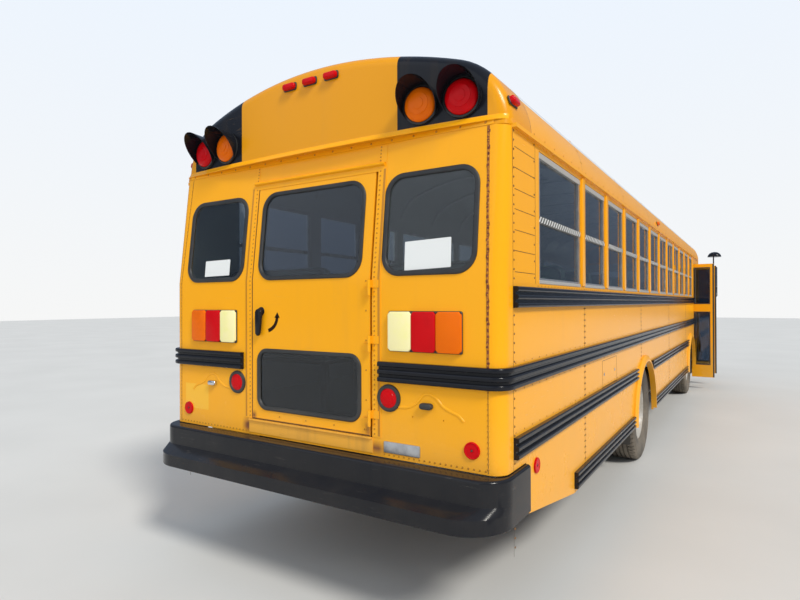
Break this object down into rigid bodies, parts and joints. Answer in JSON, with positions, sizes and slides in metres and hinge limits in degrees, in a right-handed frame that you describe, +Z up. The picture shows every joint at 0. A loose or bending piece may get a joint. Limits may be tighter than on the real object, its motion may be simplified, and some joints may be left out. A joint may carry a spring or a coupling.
{
  "type": "school bus",
  "caption": "Flat-front school bus with a bent rear emergency door, ribbed rub rails, dual rear wheels and a two-leaf entrance door standing open",
  "frame": {"origin": "on the ground at the middle of the bounding box's bottom", "axes": "+X to the kerb side with the entrance door, +Y forward, +Z up"},
  "size_m": [3.24, 11.4999, 3.1043],
  "materials": {
    "body_yellow": "gloss",
    "roof_white": "gloss",
    "black_paint": "gloss",
    "chassis_black": "satin",
    "grey_trim": "satin",
    "aluminium": "satin",
    "glass": "gloss",
    "rubber": "matte",
    "tyre": "matte",
    "rim": "satin",
    "cast": "matte",
    "seat_vinyl": "satin",
    "lens": "gloss",
    "mirror_metal": "satin",
    "floor_rubber": "matte",
    "dash_plastic": "matte",
    "stop_red": "gloss"
  },
  "bodies": {
    "root": {"side_wall_left": "body_yellow", "side_wall_right": "body_yellow", "skirts": "body_yellow", "wheel_arch_lips": "body_yellow", "rear_wall": "body_yellow", "rear_cap": "body_yellow", "front_cap": "body_yellow", "roof": "roof_white", "front_wall": "body_yellow", "grille": "black_paint", "side_window_frames": "aluminium", "glazing": "glass", "window_seals": "rubber", "floor": "floor_rubber", "entrance_steps": "floor_rubber", "rear_bumper": "black_paint", "front_bumper": "black_paint", "rub_rails": "black_paint", "drip_rails": "body_yellow", "chassis_frame": "chassis_black", "leaf_springs": "chassis_black", "rear_axle": "cast", "front_axle": "cast", "seats": "seat_vinyl", "seat_frames": "chassis_black", "driver_seat": "seat_vinyl", "dashboard": "dash_plastic", "engine": "cast", "engine_cover": "grey_trim", "drive_shaft": "chassis_black", "exhaust": "chassis_black", "fuel_tank": "chassis_black", "mud_flaps": "rubber", "mirrors": "mirror_metal", "rear_lamps": "lens", "front_lamps": "lens"},
    "emergency_door": {"emergency_door": "body_yellow", "emergency_door_glass": "glass", "emergency_door_seals": "rubber", "emergency_door_handle": "black_paint"},
    "entrance_leaf_rear": {"entrance_leaf_rear": "body_yellow", "entrance_glass_rear": "glass"},
    "entrance_leaf_front": {"entrance_leaf_front": "body_yellow", "entrance_glass_front": "glass"},
    "hatch_rear": {"hatch_lid_rear": "roof_white"},
    "hatch_front": {"hatch_lid_front": "roof_white"},
    "stop_arm": {"stop_arm": "stop_red"},
    "knuckle_left": {"knuckle_left": "cast"},
    "knuckle_right": {"knuckle_right": "cast"},
    "wheel_front_left": {"tyre_front_left": "tyre", "rim_front_left": "rim"},
    "wheel_front_right": {"tyre_front_right": "tyre", "rim_front_right": "rim"},
    "wheels_rear_left": {"tyres_rear_left": "tyre", "rims_rear_left": "rim"},
    "wheels_rear_right": {"tyres_rear_right": "tyre", "rims_rear_right": "rim"}
  },
  "joints": [
    {"name": "steer_left", "type": "hinge", "parent": "root", "child": "knuckle_left", "pos_m": [-0.89, 3.4, 0.51], "axis": [0, 0, 1], "range_deg": [-40, 40]},
    {"name": "steer_right", "type": "hinge", "parent": "root", "child": "knuckle_right", "pos_m": [0.89, 3.4, 0.51], "axis": [0, 0, 1], "range_deg": [-40, 40]},
    {"name": "roll_front_left", "type": "hinge", "parent": "knuckle_left", "child": "wheel_front_left", "pos_m": [-1.04, 3.4, 0.51], "axis": [1, 0, 0], "continuous": true},
    {"name": "roll_front_right", "type": "hinge", "parent": "knuckle_right", "child": "wheel_front_right", "pos_m": [1.04, 3.4, 0.51], "axis": [1, 0, 0], "continuous": true},
    {"name": "roll_rear_left", "type": "hinge", "parent": "root", "child": "wheels_rear_left", "pos_m": [-0.887, -1.63, 0.51], "axis": [1, 0, 0], "continuous": true},
    {"name": "roll_rear_right", "type": "hinge", "parent": "root", "child": "wheels_rear_right", "pos_m": [0.887, -1.63, 0.51], "axis": [1, 0, 0], "continuous": true},
    {"name": "emergency_door_hinge", "type": "hinge", "parent": "root", "child": "emergency_door", "pos_m": [0.465, -5.58, 1.6], "axis": [0, 0, 1], "range_deg": [0, 105]},
    {"name": "entrance_rear_pivot", "type": "hinge", "parent": "root", "child": "entrance_leaf_rear", "pos_m": [1.199, 4.114, 1.3], "axis": [0, 0, 1], "range_deg": [0, 90]},
    {"name": "entrance_front_pivot", "type": "hinge", "parent": "root", "child": "entrance_leaf_front", "pos_m": [1.199, 4.846, 1.3], "axis": [0, 0, -1], "range_deg": [0, 90]},
    {"name": "hatch_rear_hinge", "type": "hinge", "parent": "root", "child": "hatch_rear", "pos_m": [0, -1.91, 3.0663], "axis": [1, 0, 0], "range_deg": [-60, 0]},
    {"name": "hatch_front_hinge", "type": "hinge", "parent": "root", "child": "hatch_front", "pos_m": [0, 2.44, 3.0663], "axis": [1, 0, 0], "range_deg": [-60, 0]},
    {"name": "stop_arm_hinge", "type": "hinge", "parent": "root", "child": "stop_arm", "pos_m": [-1.281, 3.92, 1.492], "axis": [0, 0, -1], "range_deg": [0, 90]}
  ],
  "couplings": [
    {"joint": "steer_right", "follows": "steer_left", "ratio": 1},
    {"joint": "entrance_front_pivot", "follows": "entrance_rear_pivot", "ratio": 1}
  ]
}
